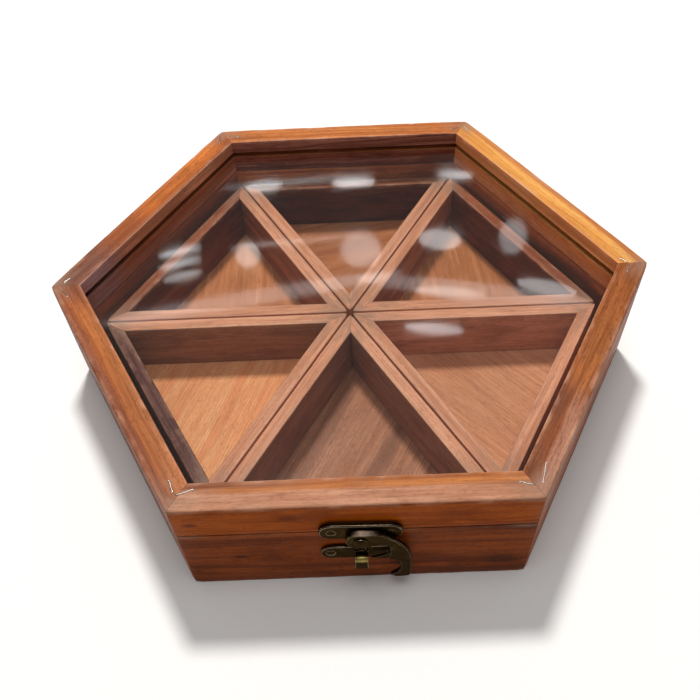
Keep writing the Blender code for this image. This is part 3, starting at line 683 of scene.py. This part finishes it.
def metal(name, dark, worn, roughness, wear=0.5, rubbed_highlight=None, edge=(1, 1, 1)):
    """Mottled metal, with an optional bright patch (x, y, z, radius, squash, colour) round a place, in mm: rubbed
    metal and a painted highlight.

    squash below 1 stretches the patch along X. edge tints what the metal mirrors at a low angle.
    """
    make = Maker(name)
    place = make.place()
    cloud = make.noise(place, scale=260.0, detail=4.0, roughness=0.6)
    grain = make.noise(place, scale=1800.0, detail=2.0)
    colour = make.mix(make.spread(cloud, 0.5, 0.8, 0.0, wear), dark, worn)
    if rubbed_highlight:
        # Partly rubbed metal, partly painted highlight: a lighter colour in a patch round a place.
        x, y, z, radius, squash, bright = rubbed_highlight
        reach = make.vector("SUBTRACT", place, (x * MM, y * MM, z * MM))
        reach = make.vector("LENGTH", make.vector("MULTIPLY", reach, (squash, 1.0, 1.0)))
        near = make.spread(reach, radius * MM, 0.2 * radius * MM)
        patch = make.maths("MULTIPLY", near, make.spread(cloud, 0.3, 0.6))
        colour = make.mix(patch, colour, bright)
    make.feed(make.shader.inputs["Base Color"], colour)
    make.feed(make.shader.inputs["Roughness"], make.spread(cloud, 0.3, 0.7, roughness + 0.1, roughness - 0.06))
    make.shader.inputs["Metallic"].default_value = 1.0
    make.shader.inputs["Specular Tint"].default_value = (*edge, 1.0)
    make.feed(make.shader.inputs["Normal"], make.bump(grain, 0.02 * MM, 0.5))
    return make.material


def soften(node, width, edge_material):
    """Rounds the sharp edges of a CAD node by width, in mm, and gives the rounds a material of their own."""
    thing = NODES[node]
    thing.data.materials.append(edge_material)
    thing.data.polygons.foreach_set("use_smooth", [True] * len(thing.data.polygons))
    thing.modifiers.new("weld", "WELD").merge_threshold = 0.002 * MM
    flat = thing.modifiers.new("flat", "DECIMATE")
    flat.decimate_type = "DISSOLVE"
    flat.angle_limit = math.radians(2)
    rounds = thing.modifiers.new("rounds", "BEVEL")
    rounds.width = width * MM
    rounds.segments = 3
    rounds.limit_method = "ANGLE"
    rounds.angle_limit = math.radians(40)
    rounds.material = 1
    thing.modifiers.new("shading", "WEIGHTED_NORMAL").keep_sharp = True


DARK_BRONZE = (0.021, 0.0095, 0.0028)
OLIVE_BRONZE = (0.088, 0.052, 0.017)
RUBBED_HIGHLIGHT_BRONZE = (0.80, 0.66, 0.52)
RUBBED_HIGHLIGHT_BRASS = (0.46, 0.36, 0.11)
BRONZE_TINT = (0.77, 0.70, 0.57)
# A bright patch on top of the horn's head: partly rubbed bronze, partly painted highlight.
HORN_WEAR_AND_HIGHLIGHT = (1.9, -113.6, 44.6, 3.4, 0.42, RUBBED_HIGHLIGHT_BRONZE)
# A bright patch on the bend of the catch's tongue: partly rubbed brass, partly painted highlight.
TONGUE_WEAR_AND_HIGHLIGHT = (1.2, -114.7, 24.4, 2.1, 0.55, RUBBED_HIGHLIGHT_BRASS)
BRONZE = metal("antique_bronze_dark", DARK_BRONZE, OLIVE_BRONZE, 0.42, 0.4, edge=BRONZE_TINT)
HORN_BRONZE = metal("antique_bronze_horn", DARK_BRONZE, OLIVE_BRONZE, 0.40, 0.6, HORN_WEAR_AND_HIGHLIGHT, BRONZE_TINT)
CATCH_BRONZE = metal("antique_bronze_catch", DARK_BRONZE, OLIVE_BRONZE, 0.40, 0.4, TONGUE_WEAR_AND_HIGHLIGHT, BRONZE_TINT)
BRONZE_EDGE = metal("antique_bronze_worn", (0.46, 0.37, 0.25), (0.88, 0.74, 0.56), 0.27, 0.9)
STEEL = metal("wire_steel", (0.40, 0.37, 0.35), (0.66, 0.62, 0.59), 0.30)
# Width of the rounded edges of the fittings that show most, in mm, and of the rest.
PLAIN_ROUND = 0.1
ROUNDS = {"latch_horn": 0.34, "latch_rivet": 0.3, "latch_catch_plate": 0.24, "latch_upper_plate": 0.24}
paint("lid_glass", glass())
for name in NODES:
    if name.startswith(("latch_", "hinge_")):
        main = {"latch_horn": HORN_BRONZE, "latch_catch_plate": CATCH_BRONZE}.get(name, BRONZE)
        pin = name.endswith("_pin")
        paint(name, STEEL if pin else main)
        soften(name, ROUNDS.get(name, PLAIN_ROUND), STEEL if pin else BRONZE_EDGE)
for number, (side, hook, mitre) in enumerate(STAPLES):
    staple(f"staple_{number + 1}", side, hook, mitre, STEEL)


# ---------------------------------------------------------------- stage, light and camera


def floor_material():
    make = Maker("pale_floor")
    grain = make.noise(make.place(), scale=400.0, detail=2.0)
    make.feed(make.shader.inputs["Base Color"], make.mix(grain, (0.86, 0.86, 0.86), (0.88, 0.88, 0.88)))
    make.shader.inputs["Roughness"].default_value = 0.9
    return make.material


def add_floor():
    mesh = bpy.data.meshes.new("floor")
    shape = bmesh.new()
    bmesh.ops.create_circle(shape, cap_ends=True, segments=64, radius=6.0)
    shape.to_mesh(mesh)
    shape.free()
    floor = bpy.data.objects.new("floor", mesh)
    bpy.context.scene.collection.objects.link(floor)
    mesh.materials.append(floor_material())


def add_softbox(name, aim, azimuth, elevation, distance, width, height, watts, colour=(1, 1, 1)):
    """An elliptical area light facing aim. Azimuth 0 is behind the box, positive to its right."""
    lamp = bpy.data.lights.new(name, "AREA")
    lamp.shape = "ELLIPSE"
    lamp.size = width
    lamp.size_y = height
    lamp.energy = watts
    lamp.color = colour
    away = Vector((
        math.sin(azimuth) * math.cos(elevation),
        math.cos(azimuth) * math.cos(elevation),
        math.sin(elevation),
    ))
    holder = bpy.data.objects.new(name, lamp)
    holder.location = aim + away * distance
    holder.rotation_euler = away.to_track_quat("Z", "Y").to_euler()
    bpy.context.scene.collection.objects.link(holder)


def add_world(strength):
    world = bpy.data.worlds.new("studio")
    world.use_nodes = True
    background = world.node_tree.nodes["Background"]
    background.inputs["Color"].default_value = (1.0, 0.97, 0.94, 1.0)
    background.inputs["Strength"].default_value = strength
    bpy.context.scene.world = world


def add_camera(aim, distance, elevation, heading, roll, lens):
    forward = Vector((
        math.sin(heading) * math.cos(elevation),
        math.cos(heading) * math.cos(elevation),
        -math.sin(elevation),
    ))
    level = forward.cross(Vector((0, 0, 1))).normalized()
    upright = level.cross(forward)
    right = level * math.cos(roll) + upright * math.sin(roll)
    up = right.cross(forward)
    camera = bpy.data.cameras.new("camera")
    camera.lens = lens
    camera.clip_start = 0.01
    holder = bpy.data.objects.new("camera", camera)
    holder.matrix_world = Matrix((right, up, -forward)).transposed().to_4x4()
    holder.location = aim - forward * distance
    bpy.context.scene.collection.objects.link(holder)
    bpy.context.scene.camera = holder


def add_mirrored_light(name, spot, width, depth, glow):
    """A light behind the box, seen in the pane from the camera. spot, width and depth are on the pane, in mm."""
    seen = Vector((*spot, PANE_TOP)) * MM
    ray = seen - CAMERA_AT
    away = Vector((ray.x, ray.y, -ray.z)).normalized()
    spread = (ray.length + GLARE_DISTANCE) / ray.length * MM
    across = width * spread
    tall = depth * spread * away.z
    azimuth = math.atan2(away.x, away.y)
    watts = glow * math.pi * across * tall * ELLIPSE_SHARE
    add_softbox(name, seen, azimuth, math.asin(away.z), GLARE_DISTANCE, across, tall, watts)


CENTRE = Vector((0, 0, 40)) * MM
WORLD_GLOW = 0.24
KEY_WATTS = 22.5
OVERHEAD_WATTS = 4.0
ROLL = math.radians(-2.93)
LENS = 39.36
AIM = Vector((-0.23, -42.54, 56.0)) * MM
CAMERA_DISTANCE = 296.98 * MM
ELEVATION = math.radians(49.636)
HEADING = math.radians(-0.86)
CAMERA_AT = AIM - CAMERA_DISTANCE * Vector((
    math.sin(HEADING) * math.cos(ELEVATION), math.cos(HEADING) * math.cos(ELEVATION), -math.sin(ELEVATION)
))
GLARE_DISTANCE = 1.5
ELLIPSE_SHARE = math.pi / 4
# Lights mirrored in the pane: place, width and depth on it in mm, and brightness.
GLARES = (
    ((-23, 74), 76, 3.6, 2.6),
    ((4, 71), 21, 6.0, 9.0),
    ((-40, 71), 18, 9.0, 5.0),
    ((54, 74), 18, 7.0, 6.0),
    ((-76, 26), 19, 4.6, 7.0),
    ((-75, 18), 19, 4.0, 6.0),
    ((-73, 10), 17, 3.6, 6.0),
    ((-45, 22), 11, 17, 3.5),
    ((-21, 30), 66, 2.4, 3.0),
    ((6, 22), 18, 22, 3.0),
    ((42, 27), 19, 14, 4.5),
    ((75, 27), 12, 24, 2.5),
    ((-40, -5), 130, 9.0, 2.0),
    ((52, -6), 100, 10.0, 1.8),
    ((43, -7), 30, 7.0, 3.0),
    ((84, -6), 25, 8.0, 4.0),
    ((34, -27), 24, 6.0, 5.5),
)

add_floor()
add_world(WORLD_GLOW)
add_softbox(
    "key", CENTRE, azimuth=math.radians(-6), elevation=math.radians(68.5), distance=1.6, width=0.22, height=0.22,
    watts=KEY_WATTS, colour=(1.0, 0.97, 0.93),
)
add_softbox(
    "overhead", CENTRE, azimuth=math.radians(178), elevation=math.radians(80), distance=1.2, width=0.6, height=0.6,
    watts=OVERHEAD_WATTS,
)
for number, (spot, width, depth, glow) in enumerate(GLARES):
    add_mirrored_light(f"glare_{number + 1}", spot, width, depth, glow)
add_camera(
    aim=AIM,
    distance=CAMERA_DISTANCE,
    elevation=ELEVATION,
    heading=HEADING,
    roll=ROLL,
    lens=LENS,
)
bpy.context.scene.view_settings.view_transform = "Standard"
